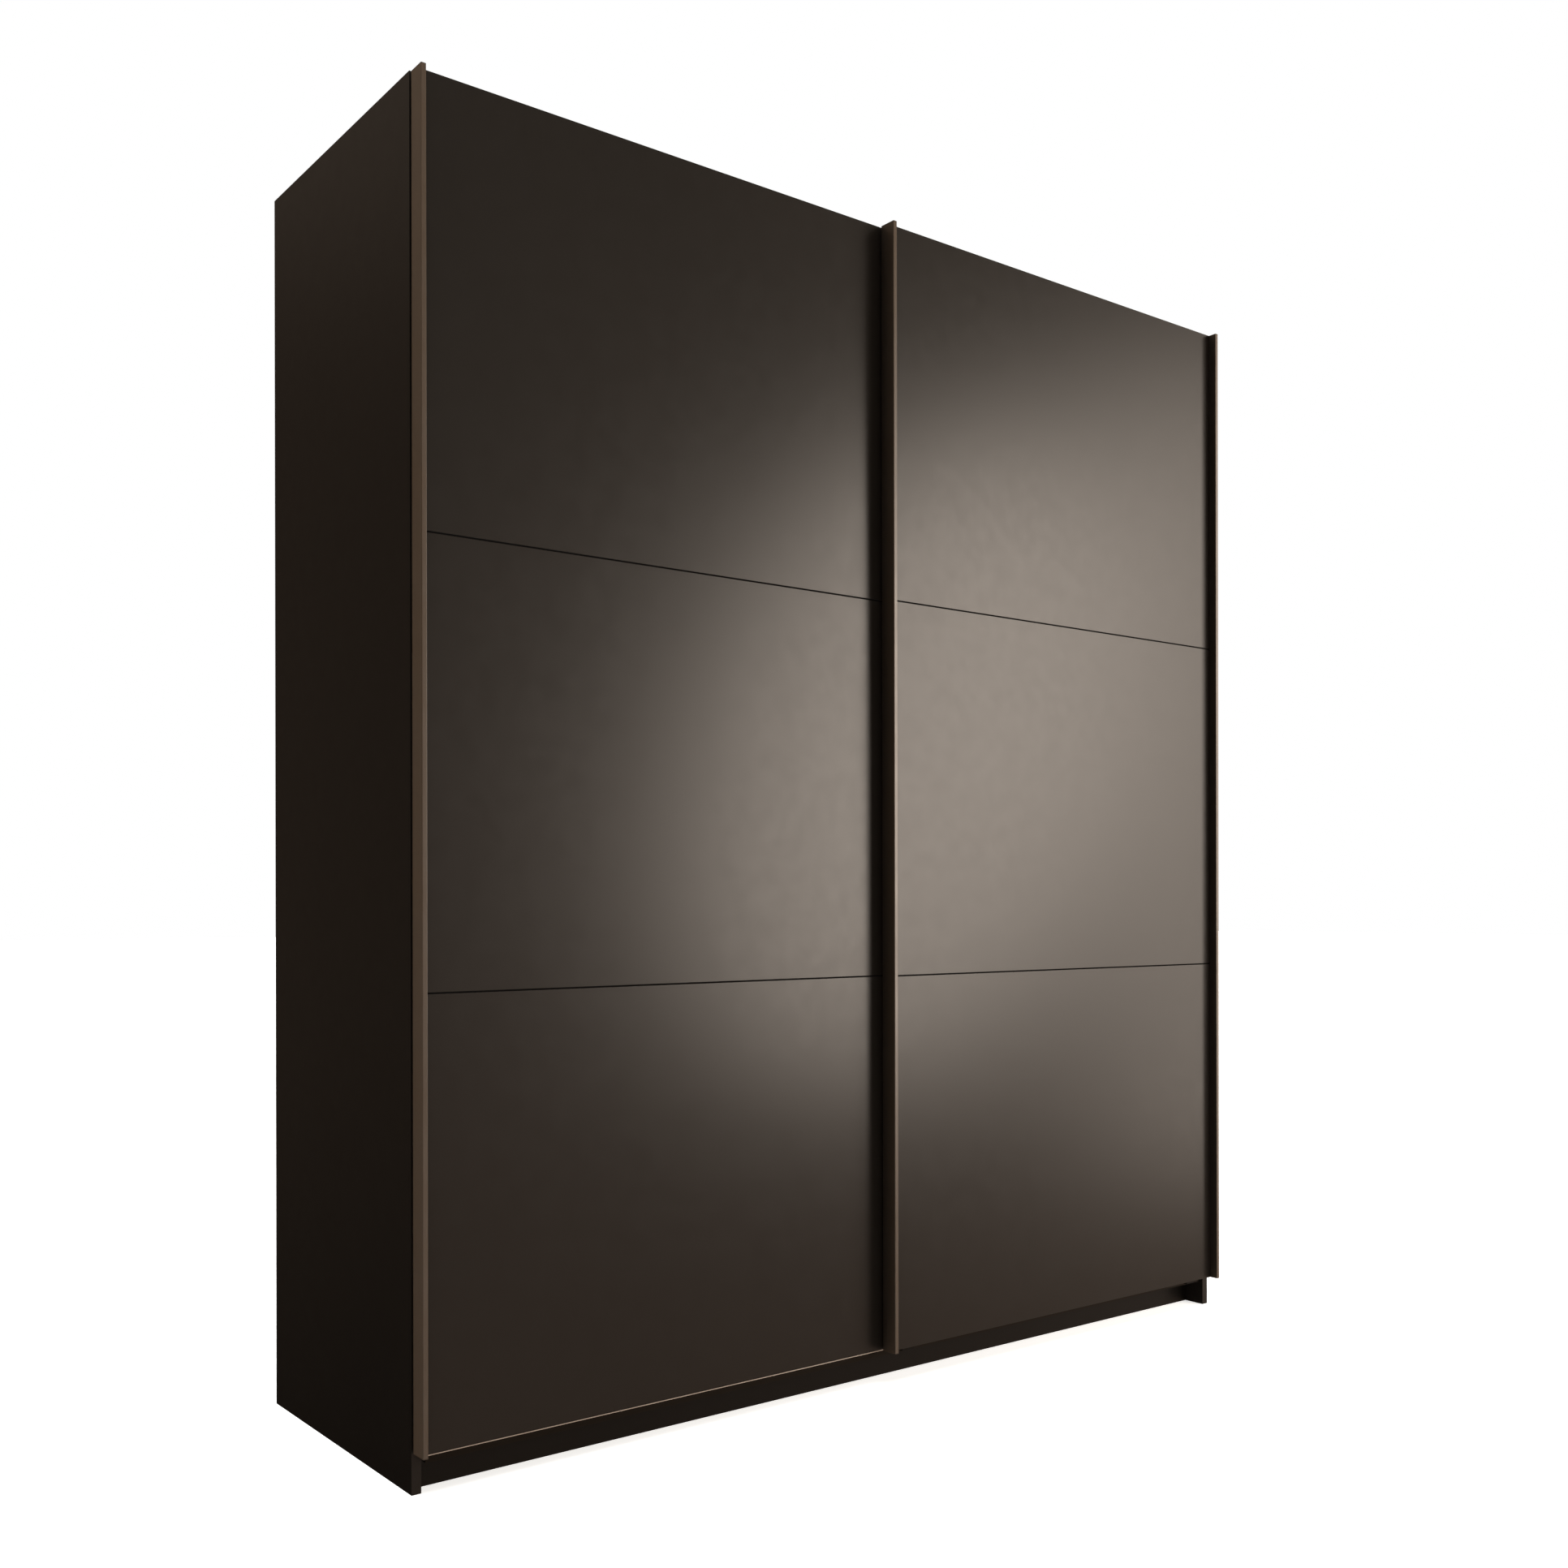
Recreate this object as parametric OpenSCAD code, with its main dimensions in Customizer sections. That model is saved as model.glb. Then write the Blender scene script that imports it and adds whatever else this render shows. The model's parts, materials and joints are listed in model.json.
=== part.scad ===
// Two-door sliding wardrobe with floating doors that hang in front of the carcass.
// Origin: bottom centre of the bounding box. +X to the right, +Y to the back, +Z up.

/* [Carcass] */
// Overall width over the two side panels
wardrobe_w = 1900; // [1700:10:2000]
// Height of the side panels and the doors
wardrobe_h = 2160; // [2000:10:2300]
// Depth of the left side panel, front edge to back edge
side_d = 566; // [520:2:620]
// Thickness of every coated board
board_t = 16; // [15:1:19]
// Height of the underside of the floor boards above the ground
floor_z = 63.5; // [60:0.5:80]
// How far the plinth stands behind the front edge of the carcass
plinth_setback = 26; // [22:1:40]
// Depth of the recess above the top boards that hides the running gear
top_recess = 60; // [58:1:70]
// Height of the hat shelves, to their underside
shelf_z = 1716; // [1600:4:1760]

/* [Doors] */
// Gap between the carcass and the back of the rear door
carcass_gap = 4; // [3:0.5:5]
// Gap between the rear door and the front door
door_gap = 5; // [4.5:0.5:6]
// Width of each door over its profiles
door_w = 964; // [900:1:964]
// How far the left door stands in from the left side panel's outer face
left_inset = 1.5; // [0:0.5:4]
// How far the right door stands in from the right side panel's outer face
right_inset = 6; // [0:1:8]
// How far the doors' upper edge lies below the top of the side panels
door_top_drop = 2; // [1:0.5:4]
// Gap between the doors' lower edge and the bottom rail
door_bottom_gap = 0.5; // [0.5:0.5:2]
// Visible height of the dark joint between two door boards
joint_h = 3; // [2:0.5:4]
// Width of a handle fin, as seen from the front
fin_w = 8.5; // [7:0.5:12]
// Depth of a handle fin, from the back of its door to its front edge
fin_d = 34; // [28:1:38]
// Radius of the two front edges of a handle fin
fin_nose_r = 1.2; // [0.5:0.1:1.5]

/* [Running gear] */
// Radius at which a wheel rolls on its rail
wheel_r = 11; // [10:0.5:12]
// Outside radius of a wheel's flanges
wheel_flange_r = 14; // [13:0.5:15]
// Radius of the wheels' axle pins
axle_r = 3; // [2.5:0.25:3.5]
// Distance from a door's edge to the middle of its hanger
hanger_inset = 150; // [130:5:200]

/* [Fittings] */
// Outside diameter of the round end curves of the oval clothes rail
clothes_rail_d = 15; // [14:1:18]
// Radius of the shelf pins and of the rows of holes that take them
pin_r = 2.5; // [2.5:0.5:3]
// Radius of the cam fittings in the ends of the boards
cam_r = 7.5; // [6:0.5:7.5]
// Radius of the screw hole in each wall bracket
wall_hole_r = 3.5; // [2.5:0.25:4]

/* [Hidden] */
$fn = 48;
cut = 1;                                            // how far a cutting tool runs past a face
board_colour = "#3a322c";
inner_colour = "#6b6058";
metal_colour = "#8a7a68";
steel_colour = "#b8babd";
black_colour = "#1b1a19";
white_colour = "#e4e2dd";

// Places in the carcass frame: x from the left outer face, y from the left side's front edge
inner_w = wardrobe_w - 2 * board_t;
partition_x = (wardrobe_w - board_t) / 2;
bay_w = partition_x - board_t;
right_bay_x = partition_x + board_t;
back_t = 3;
back_y = side_d - 18;                               // front face of the back panels
groove = 8;                                         // depth of the back panel's groove
top_z = wardrobe_h - top_recess;                    // upper face of the top boards
step_y = board_t + door_gap;                        // the front door stands this far ahead
rear_y = -carcass_gap;                              // back face of the rear (left) door
front_y = rear_y - step_y;                          // back face of the front (right) door
total_d = side_d + fin_d - front_y;
right_x = wardrobe_w - right_inset - door_w;        // left edge of the right door, closed

// Doors
door_z = floor_z + door_bottom_gap;
door_top = wardrobe_h - door_top_drop;
door_h = door_top - door_z;
panel_h = (door_h - 2 * joint_h) / 3;
tongue_t = 2;
tongue_w = 9;
kerf_w = tongue_w + 0.5;
profile_wall = 1.5;
cap_t = 1.5;
edge_w = 1.5;                                       // edge profile on the rear door
left_door_edges = [[fin_w, 1], [door_w - edge_w, -1]];
right_door_edges = [[fin_w, 1], [door_w - fin_w, -1]];

// Top track: two upright rails on one base, each under the wheels of one door
track_base_t = 2.5;
track_y0 = 6;
track_d = 68;
rear_rail_y = 22;                                   // carries the rear (left) door
front_rail_y = 58;                                  // carries the front (right) door
rail_t = 3;
rail_top_z = top_z + 14;
wheel_w = 9;
wheel_z = rail_top_z + wheel_r + 0.3;
wheel_spread = 35;
running_gap = 0.05;

// Hangers: bent steel plates let into the backs of the doors
hanger_t = 2.5;
hanger_w = 110;
hanger_leg = 120;                                   // length of the leg on the door
hanger_foot_z = door_top - hanger_leg;
rear_leg_y = 7.5;                                   // from the rail to the wheel plate
left_web_z = top_z + 43.5;
right_web_z = door_top + 1;                          // passes over the rear door
hanger_screw_x = 35;
hanger_screw_z = [18, 52];
screw_r = 2;
screw_head_r = 4;
screw_l = 14;

// Bottom rail: a guide slot for the rear door and a groove underneath for the front door
rail_front_y = rear_y - board_t;
rail_plate_t = 2;
trim_t = 1.5;
trim_h = 1.2;
rail_y0 = rail_front_y + trim_t;
slot_y = rear_y - 5;                                // middle of the slot
slot_w = 6.6;
slot_floor_z = floor_z - 12;
hook_slot_y = slot_y - 6.4;                         // middle of the groove underneath
hook_slot_w = 3.2;
rib_h = 4;

// Door guides
guide_inset = 60;
finger_w = 16;
finger_t = 5;
finger_head = 4;                                    // width of the head on each side
finger_head_h = 6;
finger_lift = 12;
housing_w = 40;
housing_h = 54;
housing_d = 10;
guide_play = 0.3;
hook_w = 30;
hook_t = 2;
hook_arm_t = 1.4;
hook_tip_t = 2.4;
keeper_w = 44;
keeper_h = 60;
keeper_d = 5;

// Fittings inside
shelf_gap = 0.5;
shelf_y0 = 20;
shelf_d = back_y - shelf_y0 - 2;
pin_l = 18;
pin_hole = 7;
pin_rows_y = [60, 500];
pin_pitch = 32;
pin_steps = [-2, -1, 0, 1, 2];
clothes_y = 270;
clothes_z = shelf_z - 75;
clothes_h = 2 * clothes_rail_d;
clothes_wall = 1.2;
socket_t = 12;
socket_base = 3;
wall_hole_up = 24;                                  // from the top boards to the screw hole
cam_inset = 34;
cam_depth = 12.5;
cam_y = [100, 480];
bolt_r = 3;
bolt_bite = 7.5;
dowel_r = 4;
dowel_bite = 7.5;
dowel_l = 28;
dowel_y = [140, 440];
end_faces = [[board_t, 1], [partition_x, -1], [right_bay_x, 1], [wardrobe_w - board_t, -1]];

// ---- Frames -----------------------------------------------------------------------------

// Children are drawn in the carcass frame
module carcass() {
  translate([-wardrobe_w / 2, fin_d - front_y - total_d / 2, 0]) children();
}

// Children are drawn from a door's lower left corner, with y = 0 on the door's back face
module left_door() {
  carcass() translate([left_inset, rear_y, 0]) children();
}

module right_door() {
  carcass() translate([right_x, front_y, 0]) children();
}

// A section drawn in the y-z plane, run along +X for a length
module run_x(length) {
  rotate([90, 0, 90]) linear_extrude(length) children();
}

// A rectangle given by its lower corner and its upper corner
module rect(low, high) {
  translate(low) square(high - low);
}

// A round bar along +X or +Y, drawn from its start
module bar_x(start, r, length) {
  translate(start) rotate([0, 90, 0]) cylinder(h = length, r = r);
}

module bar_y(start, r, length) {
  translate(start) rotate([-90, 0, 0]) cylinder(h = length, r = r);
}

// ---- Carcass ----------------------------------------------------------------------------

// A bar that runs into a board from one of the bays' end faces
module end_bar(face, y, z, r, bite, reach) {
  start = face[1] > 0 ? face[0] - bite : face[0] - reach;
  bar_x([start, y, z], r, bite + reach);
}

// Heights at which the bolts and dowels run: the middle of the floor and top boards
joint_z = [floor_z + board_t / 2, top_z - board_t / 2];

module bolts_on(faces, r, reach) {
  for (face = faces, y = cam_y, z = joint_z) end_bar(face, y, z, r, bolt_bite, reach);
}

module dowels_on(faces, reach) {
  for (face = faces, y = dowel_y, z = joint_z) {
    end_bar(face, y, z, dowel_r, dowel_bite, reach);
  }
}

// The rows of shelf pin holes in one face of an upright board
module pin_holes(face) {
  for (y = pin_rows_y, step = pin_steps) {
    z = shelf_z - pin_r + step * pin_pitch;
    end_bar(face, y, z, pin_r, pin_hole, cut);
  }
}

module side_panel(x, face, y0) {
  groove_x = face[1] > 0 ? face[0] - groove : face[0] - cut;
  difference() {
    translate([x, y0, 0]) cube([board_t, side_d - y0, wardrobe_h]);
    translate([groove_x, back_y, floor_z]) cube([groove + cut, back_t, wardrobe_h]);
    bolts_on([face], bolt_r, cut);
    dowels_on([face], cut);
    pin_holes(face);
  }
}

module left_side_panel() {
  color(board_colour) carcass() side_panel(0, end_faces[0], 0);
}

module right_side_panel() {
  color(board_colour) carcass() side_panel(wardrobe_w - board_t, end_faces[3], -step_y);
}

module centre_partition() {
  foot_y = plinth_setback + board_t;
  color(inner_colour) carcass() difference() {
    translate([partition_x, 0, 0]) cube([board_t, back_y, top_z]);
    translate([partition_x - cut, -cut, -cut]) {
      cube([board_t + 2 * cut, foot_y + cut, floor_z + cut]);
    }
    for (face = [end_faces[1], end_faces[2]]) {
      bolts_on([face], bolt_r, cut);
      dowels_on([face], cut);
      pin_holes(face);
    }
  }
}

// One floor or top board: cam pockets open on the side that a hung wardrobe hides
module bay_board(x, z, pocket_z) {
  ends = [[x, 1], [x + bay_w, -1]];
  difference() {
    translate([x, 0, z]) cube([bay_w, back_y, board_t]);
    for (end = ends, y = cam_y) {
      translate([end[0] + end[1] * cam_inset, y, pocket_z]) cylinder(h = cam_depth, r = cam_r);
    }
    bolts_on(ends, bolt_r, cam_inset);
    dowels_on(ends, dowel_l - dowel_bite);
  }
}

module floor_board(x) {
  bay_board(x, floor_z, floor_z);
}

module top_board(x) {
  bay_board(x, top_z - board_t, top_z - cam_depth);
}

module left_floor_board() {
  color(inner_colour) carcass() floor_board(board_t);
}

module right_floor_board() {
  color(inner_colour) carcass() floor_board(right_bay_x);
}

module left_top_board() {
  color(inner_colour) carcass() top_board(board_t);
}

module right_top_board() {
  color(inner_colour) carcass() top_board(right_bay_x);
}

module front_plinth() {
  color(board_colour) carcass() translate([board_t, plinth_setback, 0]) {
    cube([inner_w, board_t, floor_z - rail_plate_t]);
  }
}

module rear_plinths() {
  color(inner_colour) carcass() for (x = [board_t, right_bay_x]) {
    translate([x, back_y - 2 * board_t, 0]) cube([bay_w, board_t, floor_z]);
  }
}

module back_panel(x) {
  w = wardrobe_w / 2 - board_t + groove;
  translate([x, back_y, floor_z]) cube([w, back_t, top_z - floor_z]);
}

module left_back_panel() {
  color(inner_colour) carcass() back_panel(board_t - groove);
}

module right_back_panel() {
  color(inner_colour) carcass() back_panel(wardrobe_w / 2);
}

// Cover strip over the joint between the two back panels
module back_joint_strip() {
  strip_w = 24;
  strip_t = 2;
  color(black_colour) carcass() translate([(wardrobe_w - strip_w) / 2, back_y + back_t, floor_z]) {
    cube([strip_w, strip_t, top_z - floor_z]);
  }
}

// ---- Inside -----------------------------------------------------------------------------

module hat_shelf(x) {
  translate([x + shelf_gap, shelf_y0, shelf_z]) cube([bay_w - 2 * shelf_gap, shelf_d, board_t]);
}

module left_hat_shelf() {
  color(inner_colour) carcass() hat_shelf(board_t);
}

module right_hat_shelf() {
  color(inner_colour) carcass() hat_shelf(right_bay_x);
}

// Upright oval, drawn in the y-z plane about the middle of the clothes rail
module oval(d, h) {
  square([d, h - d], center = true);
  for (side = [-1, 1]) translate([0, side * (h - d) / 2]) circle(d = d);
}

module clothes_rail(x) {
  translate([x + socket_base + shelf_gap, clothes_y, clothes_z]) {
    run_x(bay_w - 2 * (socket_base + shelf_gap)) difference() {
      oval(clothes_rail_d, clothes_h);
      oval(clothes_rail_d - 2 * clothes_wall, clothes_h - 2 * clothes_wall);
    }
  }
}

module clothes_rails() {
  color(steel_colour) carcass() for (x = [board_t, right_bay_x]) clothes_rail(x);
}

// Cradle for one end of a clothes rail, open at the top, drawn on a wall at x = 0
module rail_socket() {
  play = 0.4;
  seat_d = clothes_rail_d + play;
  seat_h = clothes_h + play;
  wall = 4;
  difference() {
    run_x(socket_t) oval(seat_d + 2 * wall, seat_h + 2 * wall);
    translate([socket_base, 0, 0]) run_x(socket_t) {
      oval(seat_d, seat_h);
      rect([-seat_d / 2, 0], [seat_d / 2, seat_h]);
    }
  }
}

module clothes_rail_sockets() {
  color(steel_colour) carcass() for (face = end_faces) {
    translate([face[0], clothes_y, clothes_z]) mirror([face[1] > 0 ? 0 : 1, 0, 0]) rail_socket();
  }
}

module shelf_pins() {
  color(steel_colour) carcass() for (face = end_faces, y = pin_rows_y) {
    end_bar(face, y, shelf_z - pin_r, pin_r, pin_hole, pin_l - pin_hole);
  }
}

module cam_fittings() {
  color(steel_colour) carcass() for (face = end_faces, y = cam_y) {
    x = face[0] + face[1] * cam_inset;
    translate([x, y, floor_z]) cylinder(h = cam_depth, r = cam_r);
    translate([x, y, top_z - cam_depth]) cylinder(h = cam_depth, r = cam_r);
  }
}

module cam_bolts() {
  color(steel_colour) carcass() bolts_on(end_faces, bolt_r, cam_inset - cam_r);
}

module dowels() {
  color("burlywood") carcass() dowels_on(end_faces, dowel_l - dowel_bite);
}

// Angle that holds the top of the wardrobe to the wall
module wall_bracket() {
  leg = 40;
  foot = 60;
  plate = 2.5;
  translate([-leg / 2, side_d - foot, top_z]) cube([leg, foot, plate]);
  difference() {
    translate([-leg / 2, side_d - plate, top_z]) cube([leg, plate, leg]);
    bar_y([0, side_d - plate - cut, top_z + wall_hole_up], wall_hole_r, plate + 2 * cut);
  }
}

module wall_brackets() {
  color(steel_colour) carcass() for (x = [wardrobe_w / 4, wardrobe_w * 3 / 4]) {
    translate([x, 0, 0]) wall_bracket();
  }
}

// ---- Tracks -----------------------------------------------------------------------------

module top_track() {
  lip = 8;
  color(steel_colour) carcass() translate([board_t, 0, top_z]) run_x(inner_w) {
    rect([track_y0, 0], [track_y0 + track_d, track_base_t]);
    rect([track_y0, 0], [track_y0 + 2, lip]);
    rect([track_y0 + track_d - 2, 0], [track_y0 + track_d, lip]);
    for (y = [rear_rail_y, front_rail_y]) {
      rect([y - rail_t / 2, 0], [y + rail_t / 2, rail_top_z - top_z]);
    }
  }
}

// How far each door slides: up to the right side panel, and up to the other door's fin
end_gap = 4;
left_travel = wardrobe_w - board_t - end_gap - left_inset - door_w;
right_travel = right_x - left_inset - fin_w - end_gap;

// Where the rubber pads stand: [x, rail, side on which the hanger stops]
stop_gap = 1;
outer_edge = hanger_inset - hanger_w / 2 - stop_gap; // from a door's edge to the pad
stops = [
  [left_inset + outer_edge, rear_rail_y, -1],
  [left_inset + door_w - outer_edge + left_travel, rear_rail_y, 1],
  [right_x + outer_edge - right_travel, front_rail_y, -1],
  [right_x + door_w - outer_edge, front_rail_y, 1]];
buffer_l = 6;
buffer_r = 3.5;
buffer_up = 23;                                     // from the top boards to its middle
stop_l = 24;
stop_w = 22;
stop_h = 30;
stop_front = 9;                                     // part of the width in front of the rail

module at_stop(stop) {
  translate([stop[0], stop[1], 0]) mirror([stop[2] > 0 ? 0 : 1, 0, 0]) children();
}

// Block clamped over the rail beyond the end of a hanger's travel
module track_stops() {
  color(black_colour) carcass() for (stop = stops) at_stop(stop) {
    translate([buffer_l, 0, top_z + track_base_t]) difference() {
      translate([0, -stop_front, 0]) cube([stop_l, stop_w, stop_h]);
      translate([-cut, -rail_t / 2, -cut]) {
        cube([stop_l + 2 * cut, rail_t, rail_top_z - top_z - track_base_t + cut]);
      }
    }
  }
}

// Rubber pad on the face of each stop, in line with the hanger's wheel plate
module stop_buffers() {
  color(black_colour) carcass() for (stop = stops) at_stop(stop) {
    bar_x([0, rear_leg_y + hanger_t / 2, top_z + buffer_up], buffer_r, buffer_l);
  }
}

// Dark extrusion under the floor boards, with its guide slot and its hook groove
module bottom_guide_rail() {
  plate_z = floor_z - rail_plate_t;
  wall = 1.5;
  slot_lo = slot_y - slot_w / 2;
  slot_hi = slot_y + slot_w / 2;
  groove_lo = hook_slot_y - hook_slot_w / 2;
  color(black_colour) carcass() translate([board_t, 0, 0]) run_x(inner_w) {
    rect([rail_y0, plate_z], [slot_lo, floor_z]);
    rect([slot_hi, plate_z], [plinth_setback + board_t, floor_z]);
    rect([groove_lo - wall, plate_z - rib_h], [groove_lo, floor_z]);
    rect([slot_lo - wall, slot_floor_z - wall], [slot_lo, floor_z]);
    rect([slot_hi, slot_floor_z - wall], [slot_hi + wall, floor_z]);
    rect([slot_lo - wall, slot_floor_z - wall], [slot_hi + wall, slot_floor_z]);
  }
}

// Bright strip clipped to the front edge of the bottom rail
module bottom_rail_trim() {
  color(metal_colour) carcass() translate([board_t, 0, 0]) run_x(inner_w) {
    rect([rail_front_y, floor_z - trim_h], [rail_y0, floor_z]);
  }
}

// ---- Door parts, shared by both doors ---------------------------------------------------

// Lower edge of one of the three boards, counted from the bottom
function panel_z(index) = door_z + index * (panel_h + joint_h);

// Upright tongue of an edge profile, at the middle of the board's thickness
module edge_tongue(edge, reach) {
  x = edge[1] > 0 ? edge[0] : edge[0] - reach;
  translate([x, -(board_t + tongue_t) / 2, door_z]) cube([reach, tongue_t, door_h]);
}

// One board of a door, with the grooves that take the tongues round it
module door_board(index, edges) {
  z = panel_z(index);
  w = edges[1][0] - edges[0][0];
  difference() {
    translate([edges[0][0], -board_t, z]) cube([w, board_t, panel_h]);
    for (edge = edges) edge_tongue(edge, kerf_w);
    for (level = [z, z + panel_h]) {
      translate([edges[0][0] - cut, -(board_t + tongue_t) / 2, level - kerf_w]) {
        cube([w + 2 * cut, tongue_t, 2 * kerf_w]);
      }
    }
  }
}

// Dark profile in one joint: a web between two boards and a tongue into each of them
module joint_profile(index, edges) {
  set_back = 1;
  z = panel_z(index) - joint_h / 2;
  w = edges[1][0] - edges[0][0];
  difference() {
    translate([edges[0][0], 0, z]) run_x(w) {
      rect([-board_t + set_back, -joint_h / 2], [-set_back, joint_h / 2]);
      rect([-(board_t + tongue_t) / 2, -tongue_w], [-(board_t - tongue_t) / 2, tongue_w]);
    }
    for (edge = edges) edge_tongue(edge, kerf_w);
  }
}

// Outline of a fin seen from above, with its two front edges rounded
module fin_section(x) {
  centres = [x + fin_nose_r, x + fin_w - fin_nose_r];
  rect([x, fin_nose_r - fin_d], [x + fin_w, 0]);
  rect([centres[0], -fin_d], [centres[1], 0]);
  for (centre_x = centres) translate([centre_x, fin_nose_r - fin_d]) circle(r = fin_nose_r);
}

// Hollow upright fin that stands proud of the door as its handle
module handle_fin(edge) {
  x = edge[1] > 0 ? edge[0] - fin_w : edge[0];
  difference() {
    translate([0, 0, door_z + cap_t]) linear_extrude(door_h - 2 * cap_t) fin_section(x);
    fin_cavity(x, door_z, door_h);
  }
  intersection() {
    edge_tongue(edge, tongue_w);
    translate([0, -fin_d, door_z + cap_t]) cube([door_w, fin_d, door_h - 2 * cap_t]);
  }
}

module fin_cavity(x, z, h) {
  translate([x + profile_wall, profile_wall - fin_d, z]) {
    cube([fin_w - 2 * profile_wall, fin_d - 2 * profile_wall, h]);
  }
}

// Plates that close both ends of a fin, each with a plug inside it
module fin_caps(edge) {
  x = edge[1] > 0 ? edge[0] - fin_w : edge[0];
  plug = 10;
  for (z = [door_z, door_top - cap_t]) {
    translate([0, 0, z]) linear_extrude(cap_t) fin_section(x);
  }
  for (z = [door_z + cap_t, door_top - cap_t - plug]) fin_cavity(x, z, plug);
}

// Middles of a door's two hangers, and of its two guides, from the door's left edge
hanger_x = [hanger_inset, door_w - hanger_inset];
guide_x = [guide_inset, door_w - guide_inset];

// Leg of a hanger on the back of the door, from its foot up to a height
module hanger_leg_plate(x, top, depth) {
  translate([x - hanger_w / 2, -hanger_t, hanger_foot_z]) {
    cube([hanger_w, depth, top - hanger_foot_z]);
  }
}

module at_hanger_screws(x) {
  for (side = [-1, 1], z = hanger_screw_z) {
    translate([x + side * hanger_screw_x, 0, hanger_foot_z + z]) rotate([90, 0, 0]) children();
  }
}

// A countersunk screw whose head is flush with the door's back face
module countersunk_screw(length) {
  cylinder(h = hanger_t - 0.5, r1 = screw_head_r, r2 = screw_r);
  cylinder(h = length, r = screw_r);
}

// Bent plate: leg on the door, web over the carcass front, wheel plate behind the rail
module hanger(x, rail_y, web_z) {
  wheel_plate_y = rail_y + rear_leg_y;
  plate_foot_z = top_z + 13;
  difference() {
    union() {
      hanger_leg_plate(x, web_z + hanger_t, hanger_t);
      translate([x - hanger_w / 2, -hanger_t, web_z]) {
        cube([hanger_w, wheel_plate_y + 2 * hanger_t, hanger_t]);
      }
      translate([x - hanger_w / 2, wheel_plate_y, plate_foot_z]) {
        cube([hanger_w, hanger_t, web_z + hanger_t - plate_foot_z]);
      }
    }
    at_hanger_screws(x) countersunk_screw(2 * hanger_t);
    for (side = [-1, 1]) {
      bar_y([x + side * wheel_spread, wheel_plate_y - cut, wheel_z], axle_r, hanger_t + 2 * cut);
    }
  }
}

module hanger_screws() {
  for (x = hanger_x) at_hanger_screws(x) countersunk_screw(screw_l);
}

// Axle pin with its rivet head, its spacer and the clip that keeps the wheel on
module axle(x, rail_y) {
  wheel_gap = 0.3;
  collar_r = 4.5;
  clip_t = 1.5;
  plate_y = rail_y + rear_leg_y;
  wheel_y = rail_y - wheel_w / 2;
  spacer_y = rail_y + wheel_w / 2 + wheel_gap;
  clip_y = wheel_y - wheel_gap - clip_t;
  bar_y([x, clip_y, wheel_z], axle_r, plate_y + hanger_t - clip_y);
  bar_y([x, clip_y, wheel_z], collar_r, clip_t);
  bar_y([x, spacer_y, wheel_z], collar_r, plate_y - spacer_y);
  bar_y([x, plate_y + hanger_t, wheel_z], collar_r, clip_t);
}

module axles(rail_y) {
  for (x = hanger_x, side = [-1, 1]) axle(x + side * wheel_spread, rail_y);
}

// Grooved wheel on the axle of one hanger: number 1 to 4 from the left
module wheel(number, rail_y) {
  x = hanger_x[floor((number - 1) / 2)] + (number % 2 == 1 ? -1 : 1) * wheel_spread;
  bore_r = axle_r + running_gap;
  half = wheel_w / 2;
  tread = rail_t / 2 + 0.6;
  translate([x, rail_y, wheel_z]) rotate([90, 0, 0]) rotate_extrude() polygon([
    [bore_r, -half], [wheel_flange_r - 1, -half], [wheel_flange_r, 1 - half],
    [wheel_r, -tread], [wheel_r, tread],
    [wheel_flange_r, half - 1], [wheel_flange_r - 1, half], [bore_r, half]]);
}

// ---- Left door: the rear one ------------------------------------------------------------

left_hanger_rail = rear_rail_y - rear_y;            // rail of the left door, from its back
housing_y0 = slot_y - rear_y - finger_t / 2;        // front face of a guide finger

// Pocket for a guide housing, open at the back and at the lower edge
module housing_pockets() {
  for (x = guide_x) {
    translate([x - housing_w / 2, -housing_d, door_z - cut]) {
      cube([housing_w, housing_d + cut, housing_h + cut]);
    }
  }
}

module left_door_top_panel() {
  color(board_colour) left_door() difference() {
    door_board(2, left_door_edges);
    for (x = hanger_x) hanger_leg_plate(x, door_top + cut, hanger_t + cut);
    hanger_screws();
  }
}

module left_door_middle_panel() {
  color(board_colour) left_door() door_board(1, left_door_edges);
}

module left_door_bottom_panel() {
  color(board_colour) left_door() difference() {
    door_board(0, left_door_edges);
    housing_pockets();
  }
}

module left_door_joint_profiles() {
  color(black_colour) left_door() for (index = [1, 2]) joint_profile(index, left_door_edges);
}

module left_door_handle_fin() {
  color(metal_colour) left_door() handle_fin(left_door_edges[0]);
}

module left_door_edge_profile() {
  color(metal_colour) left_door() {
    translate([door_w - edge_w, -board_t, door_z]) cube([edge_w, board_t, door_h]);
    edge_tongue(left_door_edges[1], tongue_w);
  }
}

module left_door_profile_caps() {
  color(black_colour) left_door() fin_caps(left_door_edges[0]);
}

// Upright brush that closes the gap behind the front door
module left_door_brush_seal() {
  pile_w = 6;
  tip_gap = 0.4;                                    // between the bristles and the front door
  edge_gap = 2;
  short_by = 6;                                     // at the top and at the bottom
  color(black_colour) left_door() {
    translate([door_w - edge_w - edge_gap - pile_w, tip_gap - board_t - door_gap, door_z + short_by]) {
      cube([pile_w, door_gap - tip_gap, door_h - 2 * short_by]);
    }
  }
}

module left_door_hangers() {
  color(steel_colour) left_door() for (x = hanger_x) {
    hanger(x, left_hanger_rail, left_web_z);
  }
}

module left_door_axles() {
  color(steel_colour) left_door() axles(left_hanger_rail);
}

module left_door_screws() {
  color(steel_colour) left_door() hanger_screws();
}

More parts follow.
